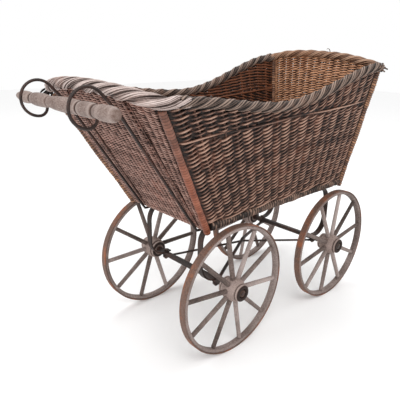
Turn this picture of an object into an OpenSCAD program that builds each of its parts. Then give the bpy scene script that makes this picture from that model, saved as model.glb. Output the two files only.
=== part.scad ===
// Wicker doll stroller: a flared willow basket on four spoked wooden wheels.
// X runs from the handle end to the high end, Y to the left side, Z up; Z = 0 is the ground.

/* [Wheels] */
// Diameter over the iron tyre
wheel_d = 270; // [220:5:330]
// Distance between the two axles
wheelbase = 341; // [300:1:400]
// Number of spokes in a wheel
spoke_count = 10; // [8:1:12]
// How far each wheel is turned: rear left, rear right, front left, front right
wheel_turns = [0, -8, 6, 9]; // [-18:1:18]
// Width of the felloe and the tyre
rim_w = 14; // [11:0.5:18]
// Radial thickness of the wooden felloe
felloe_t = 8; // [7:0.5:12]
// Thickness of the iron tyre
tyre_t = 2; // [1:0.5:3]
// Diameter of a spoke
spoke_d = 9.5; // [7:0.5:11]
// Diameter of the round tenon at each end of a spoke
tenon_d = 6; // [4:0.5:6.5]
// Length of a spoke's tenon in the felloe and in the hub
tenon_len = 4; // [3:0.5:5]
// Length of the hub
hub_len = 51; // [46:1:62]
// Largest diameter of the hub
hub_d = 47; // [43:1:54]
// Diameter of the hub's outer end
hub_nose_d = 41; // [36:1:46]
// Depth of the hollow in the hub's outer end
recess_depth = 8; // [7:0.5:10]
// Diameter of the hollow in the hub's outer end
recess_d = 24; // [21:0.5:28]
// Outside diameter of the iron bush
bush_d = 15; // [12:0.5:18]

/* [Axles] */
// Side of the square axle bar
axle_bar = 9; // [8:0.5:12]
// Diameter of the round axle arm
arm_d = 9; // [7:0.5:9.5]
// Thickness of the collar against the hub
collar_t = 3; // [2:0.5:5]
// Diameter of the collar and of the washers
collar_d = 16; // [14:0.5:18]
// Thickness of an axle nut
nut_t = 5; // [3:0.5:5.5]
// Width across the flats of an axle nut
nut_w = 13; // [12:0.5:14]

/* [Springs] */
// Height of the strap between the axle and the floor batten
spring_h = 128; // [110:1:150]
// Width of the strap
strap_w = 13; // [10:0.5:16]
// Thickness of the strap
strap_t = 3; // [2:0.5:4]
// How far the strap bows out past its axle
spring_bow = 46; // [38:1:54]
// Distance of each strap from the middle of the stroller
strap_y = 84; // [72:1:90]
// Diameter of the bolts
bolt_d = 4; // [3:0.5:5]

/* [Braces] */
// Diameter of the thick diagonal bar
brace_bar_d = 7.5; // [6:0.5:9]
// Diameter of the thin diagonal rod
brace_rod_d = 5; // [4:0.5:7]
// Rise of the upper brace where the two cross
brace_rise = 24; // [16:1:32]

/* [Basket] */
// Length of the basket's bottom
floor_len = 463; // [420:1:520]
// Distance from the rear axle back to the basket's bottom edge
floor_back = 60; // [50:1:70]
// Width of the bottom at the handle end
floor_w_rear = 236; // [220:1:280]
// Width of the bottom at the high end
floor_w_front = 208; // [195:1:240]
// Width of the rim at the handle end
rim_w_rear = 344; // [310:1:400]
// Width of the rim at the high end
rim_w_front = 308; // [280:1:350]
// How far the rear wall leans out at the rim
rear_lean = 145; // [110:1:160]
// How far the front wall leans out at the rim
front_lean = 32; // [20:1:60]
// Height of the rim above the bottom at the handle end
rim_h_rear = 246; // [215:1:280]
// Height of the rim above the bottom at the waist
rim_h_waist = 219; // [190:1:240]
// Height of the rim above the bottom at the high end
rim_h_front = 285; // [250:1:330]
// Place of the waist, from the rear axle
waist_x = 100; // [40:1:140]
// How far the rear wall bows out in the middle of the rim
rear_bow = 26; // [10:1:32]
// How far the front wall bows out in the middle of the rim
front_bow = 12; // [5:1:20]
// How far the rear rim rises in the middle
rear_arch = 16; // [5:1:25]
// How far the front rim rises in the middle
front_arch = 22; // [5:1:28]
// Thickness of the woven walls
wall_t = 5; // [3:0.5:7]
// Diameter of the wrapped corner posts
post_d = 14; // [10:0.5:16]
// Diameter of the wrapped bottom rails
rail_d = 15; // [12:0.5:17]
// Diameter of the rope border
border_d = 17; // [13:0.5:19]
// Height of the rear plait
plait_h = 24; // [18:1:28]
// Thickness of the rear plait
plait_t = 19; // [14:1:22]
// Thickness of the floor boards
board_t = 6; // [4:0.5:9]
// Number of floor boards
board_count = 4; // [3:1:6]
// Thickness of the floor battens
batten_t = 10; // [8:0.5:12]
// Width of the floor battens
batten_w = 34; // [30:1:40]
// Distance from the basket's side wall to the wheel
wheel_gap = 8; // [5:0.5:15]

/* [Handle] */
// Length of the turned bar
bar_len = 342; // [300:1:400]
// Largest diameter of the turned bar
bar_d = 24; // [20:0.5:28]
// Sideways shift of the bar
bar_shift = 10; // [-15:1:15]
// Distance between the two scrolls
scroll_gap = 166; // [140:2:190]
// Sideways shift of the two scrolls
scroll_shift = -12; // [-15:1:15]
// Diameter of the round iron of the scrolls
scroll_rod_d = 5; // [4:0.5:6]
// Radius of the scroll's round, to the middle of the iron
scroll_r = 29.5; // [26:0.5:34]
// Distance of the scroll's centre behind the rim's corner
scroll_back = 67; // [60:1:80]
// Drop of the scroll's centre below the rim's corner
scroll_drop = 8.8; // [3:0.2:12]

/* [Hidden] */
$fn = 64;

// Clearances
run_gap = 0.05;   // radial, axle arm in its bush
fit_gap = 0.1;    // between pieces that are driven or laid together
end_gap = 0.4;    // along the axle, beside a hub
post_gap = 1.3;   // between an end rail and a corner post

// Heights
axle_z = wheel_d / 2;
strap_z = axle_z + axle_bar / 2;
batten_z = strap_z + spring_h;
board_z = batten_z + batten_t + fit_gap;
rail_z = board_z;
floor_z = rail_z - rail_d / 2 + fit_gap;

// Basket corners
front_x = floor_len - floor_back;
rim_rear_x = -floor_back - rear_lean;
rim_front_x = front_x + front_lean;
rear_flare = (rim_w_rear - floor_w_rear) / 2;
front_flare = (rim_w_front - floor_w_front) / 2;

// Wheels
half_track = floor_w_rear / 2 + wall_t / 2 + wheel_gap + rim_w / 2
    + max(0, wheel_d - floor_z) * rear_flare / rim_h_rear;
hub_out = half_track + hub_len / 2;
hub_in = half_track - hub_len / 2;
felloe_r = wheel_d / 2 - tyre_t - fit_gap / 2;
felloe_in_r = felloe_r - felloe_t;
washer_t = 1.2;
arm_end = hub_out - recess_depth + end_gap + washer_t + nut_t + 0.8;

// The whole is placed so that the middle of its length is over the origin
scroll_x = rim_rear_x - scroll_back;
scroll_z = floor_z + rim_h_rear - scroll_drop;
rear_end = scroll_x - scroll_r - scroll_rod_d / 2;
front_end = max(rim_front_x + front_bow + border_d / 2, wheelbase + wheel_d / 2);
centre_x = (rear_end + front_end) / 2;

willow = "#6b5445";
willow_grey = "#8d8074";
cane = "#8a5234";
pale_wood = "#b59f93";
grey_wood = "#9b8d88";
iron = "#2c2422";
rust = "#7a4a38";
deal = "#8f7358";

// A straight round bar between two points
module rod(a, b, d) {
    v = b - a;
    len = norm(v);
    translate(a)
        rotate([0, acos(v[2] / len), atan2(v[1], v[0])])
            cylinder(d = d, h = len);
}

// A curved stretch of flat strap in the X-Z plane; r is its inner radius
module strap_bend(centre, r, from, sweep) {
    translate([centre[0], 0, centre[1]])
        rotate([90, 0, 0])
            rotate([0, 0, from])
                rotate_extrude(angle = sweep, $fn = 128)
                    translate([r, -strap_w / 2]) square([strap_t, strap_w]);
}

module bolt(d, len, head_d, head_h) {
    cylinder(d = d, h = len);
    translate([0, 0, len]) cylinder(d = head_d, h = head_h);
}

module hex_nut(d, across, h) {
    difference() {
        cylinder(d = across / cos(30), h = h, $fn = 6);
        translate([0, 0, -1]) cylinder(d = d + 2 * fit_gap, h = h + 2, $fn = 48);
    }
}

// ---- Basket shape -------------------------------------------------------

function ease(t) = t * t * (3 - 2 * t);
function clamp01(t) = min(1, max(0, t));

// Height of the rim line above the bottom at distance x from the rear axle
function rim_height(x) = x < waist_x
    ? rim_h_waist + (rim_h_rear - rim_h_waist) * ease(clamp01((waist_x - x) / (waist_x - rim_rear_x)))
    : rim_h_waist + (rim_h_front - rim_h_waist) * ease(clamp01((x - waist_x) / (rim_front_x - waist_x)));

// Half the basket's width; s runs from the rear (0) to the front (1), z above the bottom
function half_width(s, z) =
    (1 - s) * (floor_w_rear / 2 + rear_flare * z / rim_h_rear)
    + s * (floor_w_front / 2 + front_flare * z / rim_h_front);

// Place along X of a line that leans with both end walls
function lean_x(s, z) =
    (1 - s) * (-floor_back - rear_lean * z / rim_h_rear)
    + s * (front_x + front_lean * z / rim_h_front);

// A point of a side wall's middle surface
function side_point(s, z) = [lean_x(s, z), half_width(s, z), floor_z + z];

// Height of the rim over one line s of the side wall, found by stepping down the leaning line
function rim_at(s, z = 240, n = 12) = n == 0 ? z : rim_at(s, rim_height(lean_x(s, z)), n - 1);

// A point of an end wall's middle surface; q runs from -1 to 1 across, h from 0 to 1 up
function end_point(s, q, h, rim, arch, bow) =
    let (z = h * rim, sag = 1 - q * q)
    [lean_x(s, z) + bow * sag * h, q * half_width(s, z), floor_z + z + arch * sag * h];

function rear_point(q, h) = end_point(0, q, h, rim_h_rear, rear_arch, -rear_bow);
function front_point(q, h) = end_point(1, q, h, rim_h_front, front_arch, front_bow);

// A closed sheet between two grids of points, each a list of rows; outer lies to the left of
// the direction from row to row, seen along the rows
module sheet(outer, inner) {
    rows = len(outer);
    cols = len(outer[0]);
    count = rows * cols;
    points = concat([for (r = outer) each r], [for (r = inner) each r]);
    function at(i, j) = i * cols + j;
    faces = concat(
        [for (i = [0 : rows - 2], j = [0 : cols - 2]) each
            [[at(i, j), at(i, j + 1), at(i + 1, j + 1)], [at(i, j), at(i + 1, j + 1), at(i + 1, j)]]],
        [for (i = [0 : rows - 2], j = [0 : cols - 2]) each
            [[count + at(i, j), count + at(i + 1, j + 1), count + at(i, j + 1)],
             [count + at(i, j), count + at(i + 1, j), count + at(i + 1, j + 1)]]],
        [for (j = [0 : cols - 2]) each
            [[at(0, j), count + at(0, j), count + at(0, j + 1)], [at(0, j), count + at(0, j + 1), at(0, j + 1)]]],
        [for (j = [0 : cols - 2]) let (a = at(rows - 1, j), b = at(rows - 1, j + 1)) each
            [[a, b, count + b], [a, count + b, count + a]]],
        [for (i = [0 : rows - 2]) let (a = at(i, 0), b = at(i + 1, 0)) each
            [[a, b, count + b], [a, count + b, count + a]]],
        [for (i = [0 : rows - 2]) let (a = at(i, cols - 1), b = at(i + 1, cols - 1)) each
            [[a, count + a, count + b], [a, count + b, b]]]);
    polyhedron(points = points, faces = faces, convexity = 6);
}

// A closed tube of oval section along a line of points; w is its width, h its height
module swept(path, w, h, sides = 12, ref = [0, 0, 1]) {
    n = len(path);
    function dir(i) = let (v = path[min(n - 1, i + 1)] - path[max(0, i - 1)]) v / norm(v);
    function across(i) = let (v = cross(dir(i), ref)) v / norm(v);
    function up(i) = cross(across(i), dir(i));
    points = [for (i = [0 : n - 1], k = [0 : sides - 1])
        path[i] + across(i) * cos(360 * k / sides) * w / 2 + up(i) * sin(360 * k / sides) * h / 2];
    faces = concat(
        [for (i = [0 : n - 2], k = [0 : sides - 1])
            let (a = i * sides + k, b = i * sides + (k + 1) % sides) each
            [[a, b, b + sides], [a, b + sides, a + sides]]],
        [[for (k = [sides - 1 : -1 : 0]) k]],
        [[for (k = [0 : sides - 1]) (n - 1) * sides + k]]);
    polyhedron(points = points, faces = faces, convexity = 6);
}

side_steps = 24;
end_steps = 10;
wall_rows = 4;

// Room that the wall leaves for a post at each end and for the rail and the border
rear_slope = norm([rim_h_rear, rear_lean]) / rim_h_rear;
post_room = post_d / 2 * rear_slope + fit_gap + 0.4;
rail_room = post_room + rail_d / 2 * rear_lean / rim_h_rear + 0.5;

// Share of the way along the side wall at distance d from its rear or front line, at height z
function side_share(d, z) = d / (lean_x(1, z) - lean_x(0, z));

module side_wall(side) {
    bottom = rail_d + 2 * fit_gap;
    function place(i, v) =
        let (t = i / side_steps,
            low = bottom,
            near = side_share(post_room, 240),
            top = rim_at(near + (1 - 2 * near) * t) - border_d / 2 - 1,
            z = low + (top - low) * v,
            a = side_share(post_room, z),
            s = a + (1 - 2 * a) * t)
        side_point(s, z);
    function face(off) = [for (r = [0 : wall_rows]) [for (i = [0 : side_steps])
        let (p = place(i, r / wall_rows)) [p[0], side * (p[1] + off), p[2]]]];
    color(willow)
        sheet(face(side * wall_t / 2), face(-side * wall_t / 2));
}

module end_wall(s, rim, arch, bow, cap_h) {
    facing = s == 0 ? 1 : -1;
    function place(j, r) =
        let (room = post_room / half_width(s, 0),
            q = (1 - room) * (2 * j / end_steps - 1),
            top = 1 - (cap_h / 2 + 0.6) / rim)
        end_point(s, q, top * r / wall_rows, rim, arch, bow);
    function face(off) = [for (r = [0 : wall_rows]) [for (j = [0 : end_steps])
        let (p = place(j, r)) [p[0] + off, p[1], p[2]]]];
    color(willow_grey)
        sheet(face(facing * wall_t / 2), face(-facing * wall_t / 2));
}

module corner_post(s, side) {
    rim = s == 0 ? rim_h_rear : rim_h_front;
    cap = s == 0 ? plait_h / 2 : border_d / 2;
    foot = side_point(s, -rail_d / 3);
    head = side_point(s, rim - cap - 1);
    flip = [1, side, 1];
    color(cane)
        rod([for (k = [0 : 2]) foot[k] * flip[k]], [for (k = [0 : 2]) head[k] * flip[k]], post_d);
}

// Inset of the side rails' ends from the corner posts' axes
module side_rail(side) {
    z = rail_z - floor_z;
    a = side_share(rail_room, z);
    from = side_point(a, z);
    to = side_point(1 - a, z);
    color(cane)
        rod([from[0], side * from[1], from[2]], [to[0], side * to[1], to[2]], rail_d);
}

// Distance of an end rail's axis inside its wall's middle surface
end_rail_in = (rail_d / 2 + 0.5) * rear_slope + wall_t / 2;
rear_rail_x = lean_x(0, rail_z - floor_z) + end_rail_in;
front_rail_x = lean_x(1, rail_z - floor_z) - end_rail_in;

// Half width between the side rails at distance x from the rear axle
function between_rails(x) =
    half_width((x + floor_back) / floor_len, rail_z - floor_z) - rail_d / 2 - 2 * fit_gap;

module end_rail(x) {
    reach = min(between_rails(x) - 1,
        half_width(x < 0 ? 0 : 1, rail_z - floor_z) - post_d / 2 - post_gap);
    color(cane)
        rod([x, -reach, rail_z], [x, reach, rail_z], rail_d);
}

rear_batten_x = 8;
front_batten_x = wheelbase - rear_batten_x;

module floor_batten(x) {
    reach = between_rails(max(x, 0) + batten_w / 2) - 1;
    color(deal)
        difference() {
            translate([x - batten_w / 2, -reach, batten_z]) cube([batten_w, 2 * reach, batten_t]);
            for (side = [-1, 1])
                translate([x, side * strap_y, batten_z - 1])
                    cylinder(d = bolt_d + 2 * fit_gap, h = batten_t + 2);
        }
}

module floor_boards() {
    from = rear_rail_x + rail_d / 2 + fit_gap;
    to = front_rail_x - rail_d / 2 - fit_gap;
    reach_from = between_rails(from);
    reach_to = between_rails(to);
    joint = 0.6;
    color(deal)
        for (k = [0 : board_count - 1]) {
            low = k / board_count * 2 - 1;
            high = (k + 1) / board_count * 2 - 1;
            difference() {
                translate([0, 0, board_z])
                    linear_extrude(height = board_t)
                        polygon([[from, low * reach_from + joint / 2], [to, low * reach_to + joint / 2],
                            [to, high * reach_to - joint / 2], [from, high * reach_from - joint / 2]]);
                for (x = [rear_batten_x, front_batten_x], side = [-1, 1])
                    translate([x, side * strap_y, board_z - 1])
                        cylinder(d = bolt_d + 2 * fit_gap, h = board_t + 2);
            }
        }
}

module rim_border(side) {
    path = [for (i = [0 : side_steps])
        let (s = i / side_steps, p = side_point(s, rim_at(s))) [p[0], side * p[1], p[2]]];
    color(willow_grey)
        swept(path, border_d, border_d);
}

// The end borders stop beside the side borders
module front_border() {
    room = (border_d / 2 + fit_gap) / half_width(1, rim_h_front);
    path = [for (j = [0 : end_steps]) front_point((1 - room) * (2 * j / end_steps - 1), 1)];
    color(willow_grey)
        swept(path, border_d, border_d);
}

module rear_plait() {
    room = (border_d / 2 + fit_gap) / half_width(0, rim_h_rear);
    path = [for (j = [0 : end_steps]) rear_point((1 - room) * (2 * j / end_steps - 1), 1)];
    color(willow_grey)
        swept(path, plait_t, plait_h, 16);
}

// ---- Handle -------------------------------------------------------------

tail_r = 14;
tail_x = scroll_x + tail_r;
bar_x = tail_x - scroll_rod_d / 2 - 3.2;
bar_z = scroll_z - 4.4;
tail_z = scroll_z - scroll_r + tail_r;

// The turned outline from the right end to the left end: share of the length, share of the radius
bar_outline = [[0, 0], [0, 0.42], [0.012, 0.72], [0.035, 0.9], [0.075, 0.98], [0.12, 0.92],
    [0.155, 0.8], [0.17, 0.78], [0.185, 0.86], [0.22, 0.94], [0.265, 0.93], [0.292, 0.84],
    [0.298, 0.8], [0.304, 0.88], [0.35, 0.94], [0.45, 1], [0.54, 0.94], [0.585, 0.8],
    [0.605, 0.77], [0.625, 0.83], [0.67, 0.94], [0.73, 0.97], [0.775, 0.9], [0.8, 0.72],
    [0.808, 0.62], [0.82, 0.66], [0.85, 0.8], [0.885, 0.9], [0.92, 0.9], [0.955, 0.8],
    [0.965, 0.66], [0.985, 0.56], [1, 0.32], [1, 0]];

module handle_bar() {
    color(pale_wood)
        difference() {
            translate([bar_x, bar_shift - bar_len / 2, bar_z])
                rotate([-90, 0, 0])
                    rotate_extrude()
                        polygon([for (p = bar_outline) [p[1] * bar_d / 2, p[0] * bar_len]]);
            for (side = [-1, 1])
                translate([tail_x, scroll_shift + side * scroll_gap / 2, bar_z - bar_d])
                    cylinder(d = scroll_rod_d + 2 * fit_gap, h = bar_d - 2);
        }
}

// Line of the scroll rod on the rear wall: its foot under the basket and its bend below the rim
rod_foot_z = batten_z - scroll_rod_d / 2 - fit_gap;
rod_foot = [-floor_back - wall_t / 2 - scroll_rod_d / 2 + 1, rod_foot_z];
exit_angle = 42;
exit_point = [scroll_x + scroll_r * cos(exit_angle), scroll_z + scroll_r * sin(exit_angle)];
bend_drop = 33;
bend_point = exit_point + bend_drop * [tan(exit_angle), -1];

// Points of a round in the X-Z plane
function round_path(centre, r, from, to, n) =
    [for (k = [0 : n]) let (a = from + (to - from) * k / n) [centre[0] + r * cos(a), 0, centre[1] + r * sin(a)]];

module handle_scroll(side) {
    inner_x = rear_batten_x + 4;
    path = concat(
        [[tail_x, 0, bar_z - 3]],
        round_path([scroll_x, tail_z], tail_r, 0, -90, 8),
        round_path([scroll_x, scroll_z], scroll_r, 264, exit_angle, 24),
        [[bend_point[0], 0, bend_point[1]], [rod_foot[0] - 3, 0, rod_foot[1] + 5],
            [rod_foot[0] + 2, 0, rod_foot[1]], [inner_x, 0, rod_foot[1]]]);
    color(iron)
        translate([0, scroll_shift + side * scroll_gap / 2, 0])
            swept(path, scroll_rod_d, scroll_rod_d, 12, [0, 1, 0]);
}

// Wire staples over the rods' feet, driven up into the rear batten
module scroll_staples() {
    wire = 1.6;
    leg = 6;
    r = scroll_rod_d / 2 + fit_gap + wire / 2;
    color(iron)
        for (side = [-1, 1])
            translate([rear_batten_x - 6, scroll_shift + side * scroll_gap / 2, rod_foot_z]) {
                rotate([90, 0, 90])
                    rotate([0, 0, 180])
                        rotate_extrude(angle = 180)
                            translate([r, 0]) circle(d = wire, $fn = 24);
                for (k = [-1, 1])
                    translate([0, k * r, 0])
                        cylinder(d = wire, h = scroll_rod_d / 2 - fit_gap, $fn = 24);
            }
}

// ---- Running gear -------------------------------------------------------

strap_r = 40;
strap_end = 10;

// A strap on the rear axle; the front ones are its mirror image
module spring_strap() {
    bend_x = -spring_bow + strap_r;
    inner_r = strap_r - strap_t;
    low_z = strap_z + strap_r;
    high_z = batten_z - fit_gap - strap_r;
    flange = rear_batten_x + strap_end - bend_x;
    difference() {
        union() {
            translate([bend_x, -strap_w / 2, strap_z]) cube([strap_end - bend_x, strap_w, strap_t]);
            strap_bend([bend_x, low_z], inner_r, 180, 90);
            translate([-spring_bow, -strap_w / 2, low_z]) cube([strap_t, strap_w, high_z - low_z]);
            strap_bend([bend_x, high_z], inner_r, 90, 90);
            translate([bend_x, -strap_w / 2, high_z + inner_r]) cube([flange, strap_w, strap_t]);
        }
        translate([0, 0, strap_z - 1]) cylinder(d = bolt_d + 2 * fit_gap, h = strap_t + 2);
        translate([rear_batten_x, 0, batten_z - strap_t - 2])
            cylinder(d = bolt_d + 2 * fit_gap, h = strap_t + 3);
    }
}

module spring(end, side) {
    color(iron)
        translate([end * wheelbase, side * strap_y, fit_gap])
            mirror([end, 0, 0]) spring_strap();
}

head_h = 3;
head_d = 9;

// Coach screws driven up through the straps into the floor battens
module spring_bolts() {
    color(rust)
        for (x = [rear_batten_x, front_batten_x], side = [-1, 1])
            translate([x, side * strap_y, batten_z - strap_t - head_h - fit_gap]) {
                cylinder(d = head_d, h = head_h, $fn = 6);
                cylinder(d = bolt_d, h = head_h + strap_t + batten_t - 1);
            }
}

plate_t = 4;
plate_top = axle_z - axle_bar / 2 - fit_gap;

// Bolts that hold strap, axle and brace end together, with their nuts below
module axle_bolts() {
    color(rust)
        for (x = [0, wheelbase], side = [-1, 1])
            translate([x, side * strap_y, 0]) {
                top = strap_z + strap_t + 2 * fit_gap;
                low = plate_top - plate_t - fit_gap - head_h;
                translate([0, 0, top]) cylinder(d = head_d, h = head_h, $fn = 6);
                translate([0, 0, low - 2]) cylinder(d = bolt_d, h = top - low + 3);
                translate([0, 0, low]) cylinder(d = head_d, h = head_h, $fn = 6);
            }
}

module axle(x) {
    collar_y = hub_in - end_gap;
    color(iron)
        translate([x, 0, axle_z])
            difference() {
                union() {
                    cube([axle_bar, 2 * (collar_y - collar_t), axle_bar], center = true);
                    for (side = [-1, 1]) rotate([-90 * side, 0, 0]) {
                        translate([0, 0, collar_y - collar_t]) cylinder(d = collar_d, h = collar_t);
                        translate([0, 0, collar_y - 1]) cylinder(d = arm_d, h = arm_end - collar_y + 1);
                    }
                }
                for (side = [-1, 1])
                    translate([0, side * strap_y, -axle_bar])
                        cylinder(d = bolt_d + 2 * fit_gap, h = 2 * axle_bar);
            }
}

// A brace from the rear axle's bolt to the opposite bolt of the front axle, bent up in the middle
module brace(side, d, middle_z) {
    start = [0, side * strap_y, plate_top - plate_t / 2];
    end = [wheelbase, -side * strap_y, plate_top - plate_t / 2];
    middle = [wheelbase / 2, 0, middle_z];
    turn = atan2(end[1] - start[1], end[0] - start[0]);
    away = 13 * [cos(turn), sin(turn), 0];
    eye = 14;
    color(iron)
        difference() {
            union() {
                for (k = [0, 1]) {
                    translate(k == 0 ? start : end)
                        rotate([0, 0, turn + 180 * k]) {
                            translate([0, 0, -plate_t / 2]) cylinder(d = eye, h = plate_t);
                            translate([0, -d / 2, -plate_t / 2]) cube([13, d, plate_t]);
                        }
                }
                swept([start + 0.7 * away, middle, end - 0.7 * away], d, d);
            }
            for (p = [start, end])
                translate([p[0], p[1], p[2] - plate_t])
                    cylinder(d = bolt_d + 2 * fit_gap, h = 2 * plate_t);
        }
}

bar_mid_z = plate_top - plate_t / 2 + brace_rise;
rod_mid_z = bar_mid_z - (brace_bar_d + brace_rod_d) / 2 - 0.4;

module axle_washers() {
    color(rust)
        for (x = [0, wheelbase], side = [-1, 1])
            translate([x, 0, axle_z])
                rotate([-90 * side, 0, 0])
                    translate([0, 0, hub_out - recess_depth + end_gap])
                        difference() {
                            cylinder(d = collar_d + 2, h = washer_t);
                            translate([0, 0, -1]) cylinder(d = arm_d + 2 * fit_gap, h = washer_t + 2);
                        }
}

module axle_nuts() {
    color(rust)
        for (x = [0, wheelbase], side = [-1, 1])
            translate([x, 0, axle_z])
                rotate([-90 * side, 0, 0])
                    translate([0, 0, hub_out - recess_depth + end_gap + washer_t + fit_gap])
                        hex_nut(arm_d, nut_w, nut_t - fit_gap);
}

// ---- Wheels, built on their own axis along Z with the outer end upward -----

module tyre() {
    color(rust)
        difference() {
            translate([0, 0, -rim_w / 2]) cylinder(d = wheel_d, h = rim_w, $fn = 128);
            translate([0, 0, -rim_w]) cylinder(d = wheel_d - 2 * tyre_t, h = 2 * rim_w, $fn = 128);
        }
}

module spoke_turns(end, side) {
    turn = -side * wheel_turns[2 * end + (1 - side) / 2];
    for (k = [0 : spoke_count - 1])
        rotate([0, 90, k * 360 / spoke_count + turn]) children();
}

hub_r = hub_d / 2;
shoulder_in = hub_r + 0.3;
shoulder_out = felloe_in_r - 0.3;

module felloe(end, side) {
    edge = 2.5;
    h = rim_w / 2;
    color(grey_wood)
        difference() {
            rotate_extrude($fn = 128)
                polygon([[felloe_r, -h], [felloe_r, h], [felloe_in_r + edge, h], [felloe_in_r, h - edge],
                    [felloe_in_r, edge - h], [felloe_in_r + edge, -h]]);
            spoke_turns(end, side)
                translate([0, 0, felloe_in_r - 5]) cylinder(d = tenon_d + 2 * fit_gap, h = tenon_len + 5.2);
        }
}

module spokes(end, side) {
    color(pale_wood)
        spoke_turns(end, side) {
            translate([0, 0, shoulder_in]) cylinder(d = spoke_d, h = shoulder_out - shoulder_in);
            translate([0, 0, hub_r - tenon_len])
                cylinder(d = tenon_d, h = felloe_in_r + tenon_len - hub_r + tenon_len);
        }
}

module hub(end, side) {
    h = hub_len / 2;
    end_r = hub_nose_d / 2;
    flat = spoke_d / 2 + 3;
    groove = 1.5;
    color(grey_wood)
        difference() {
            rotate_extrude()
                polygon([[bush_d / 2 + fit_gap, -h], [end_r - 3, -h], [end_r - 1, 2 - h], [end_r - 1, 5 - h],
                    [end_r - 1 - groove, 6 - h], [end_r - groove, 7 - h], [hub_r, -flat], [hub_r, flat],
                    [end_r + 1 - groove, h - 8], [end_r - groove, h - 7], [end_r, h - 6],
                    [end_r, h - 1.5], [end_r - 1.5, h], [recess_d / 2, h],
                    [recess_d / 2, h - recess_depth], [bush_d / 2 + fit_gap, h - recess_depth]]);
            spoke_turns(end, side)
                translate([0, 0, hub_r - tenon_len - 0.2])
                    cylinder(d = tenon_d + 2 * fit_gap, h = tenon_len + 5);
        }
}

module bush() {
    color(iron)
        translate([0, 0, -hub_len / 2])
            difference() {
                cylinder(d = bush_d, h = hub_len - recess_depth);
                translate([0, 0, -1]) cylinder(d = arm_d + 2 * run_gap, h = hub_len + 2);
            }
}

module on_axle(end, side) {
    translate([end * wheelbase, side * half_track, axle_z])
        rotate([-90 * side, 0, 0]) children();
}

module centred() {
    translate([-centre_x, 0, 0]) children();
}

centred() floor_boards();
centred() floor_batten(rear_batten_x);  // floor_batten_rear
centred() floor_batten(front_batten_x);  // floor_batten_front
centred() side_rail(1);  // bottom_rail_left
centred() side_rail(-1);  // bottom_rail_right
centred() end_rail(rear_rail_x);  // bottom_rail_rear
centred() end_rail(front_rail_x);  // bottom_rail_front
centred() side_wall(1);  // side_wall_left
centred() side_wall(-1);  // side_wall_right
centred() end_wall(0, rim_h_rear, rear_arch, -rear_bow, plait_h);  // rear_wall
centred() end_wall(1, rim_h_front, front_arch, front_bow, border_d);  // front_wall
centred() corner_post(0, 1);  // corner_post_rear_left
centred() corner_post(0, -1);  // corner_post_rear_right
centred() corner_post(1, 1);  // corner_post_front_left
centred() corner_post(1, -1);  // corner_post_front_right
centred() rim_border(1);  // rim_border_left
centred() rim_border(-1);  // rim_border_right
centred() front_border();  // rim_border_front
centred() rear_plait();  // rim_plait_rear
centred() handle_bar();
centred() handle_scroll(1);  // handle_scroll_left
centred() handle_scroll(-1);  // handle_scroll_right
centred() scroll_staples();
centred() spring(0, 1);  // spring_rear_left
centred() spring(0, -1);  // spring_rear_right
centred() spring(1, 1);  // spring_front_left
centred() spring(1, -1);  // spring_front_right
centred() spring_bolts();
centred() axle_bolts();
centred() axle(0);  // rear_axle
centred() axle(wheelbase);  // front_axle
centred() brace(-1, brace_bar_d, bar_mid_z);  // brace_bar
centred() brace(1, brace_rod_d, rod_mid_z);  // brace_rod
centred() axle_washers();
centred() axle_nuts();
centred() on_axle(0, 1) tyre();  // tyre_rear_left
centred() on_axle(0, 1) felloe(0, 1);  // felloe_rear_left
centred() on_axle(0, 1) spokes(0, 1);  // spokes_rear_left
centred() on_axle(0, 1) hub(0, 1);  // hub_rear_left
centred() on_axle(0, 1) bush();  // bush_rear_left
centred() on_axle(0, -1) tyre();  // tyre_rear_right
centred() on_axle(0, -1) felloe(0, -1);  // felloe_rear_right
centred() on_axle(0, -1) spokes(0, -1);  // spokes_rear_right
centred() on_axle(0, -1) hub(0, -1);  // hub_rear_right
centred() on_axle(0, -1) bush();  // bush_rear_right
centred() on_axle(1, 1) tyre();  // tyre_front_left
centred() on_axle(1, 1) felloe(1, 1);  // felloe_front_left
centred() on_axle(1, 1) spokes(1, 1);  // spokes_front_left
centred() on_axle(1, 1) hub(1, 1);  // hub_front_left
centred() on_axle(1, 1) bush();  // bush_front_left
centred() on_axle(1, -1) tyre();  // tyre_front_right
centred() on_axle(1, -1) felloe(1, -1);  // felloe_front_right
centred() on_axle(1, -1) spokes(1, -1);  // spokes_front_right
centred() on_axle(1, -1) hub(1, -1);  // hub_front_right
centred() on_axle(1, -1) bush();  // bush_front_right
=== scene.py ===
import math
import bpy
import numpy as np
from mathutils import Matrix, Vector


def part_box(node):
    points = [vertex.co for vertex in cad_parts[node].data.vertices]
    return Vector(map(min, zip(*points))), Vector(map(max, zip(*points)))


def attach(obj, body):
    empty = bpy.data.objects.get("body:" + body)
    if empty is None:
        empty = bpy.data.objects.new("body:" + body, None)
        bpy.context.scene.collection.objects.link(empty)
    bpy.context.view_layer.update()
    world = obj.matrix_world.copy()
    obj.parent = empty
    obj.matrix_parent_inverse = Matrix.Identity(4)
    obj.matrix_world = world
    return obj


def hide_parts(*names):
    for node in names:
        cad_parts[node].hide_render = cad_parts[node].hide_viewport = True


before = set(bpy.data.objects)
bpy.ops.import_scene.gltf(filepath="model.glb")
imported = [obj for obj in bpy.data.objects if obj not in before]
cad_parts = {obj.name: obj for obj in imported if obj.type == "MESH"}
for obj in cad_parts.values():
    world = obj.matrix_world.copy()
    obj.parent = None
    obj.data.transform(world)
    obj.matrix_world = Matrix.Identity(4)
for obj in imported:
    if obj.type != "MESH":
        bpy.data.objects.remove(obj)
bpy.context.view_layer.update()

MM = 0.001
SIDES = ((1, "left"), (-1, "right"))
ENDS = ((0, "rear"), (1, "front"))   # s is 0 at the rear end and 1 at the high front end

# ---- Where the design puts things, in millimetres from the rear axle ---------------------


def centre_of(node):
    low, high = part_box(node)
    return (np.array(low) + np.array(high)) / 2


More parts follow.
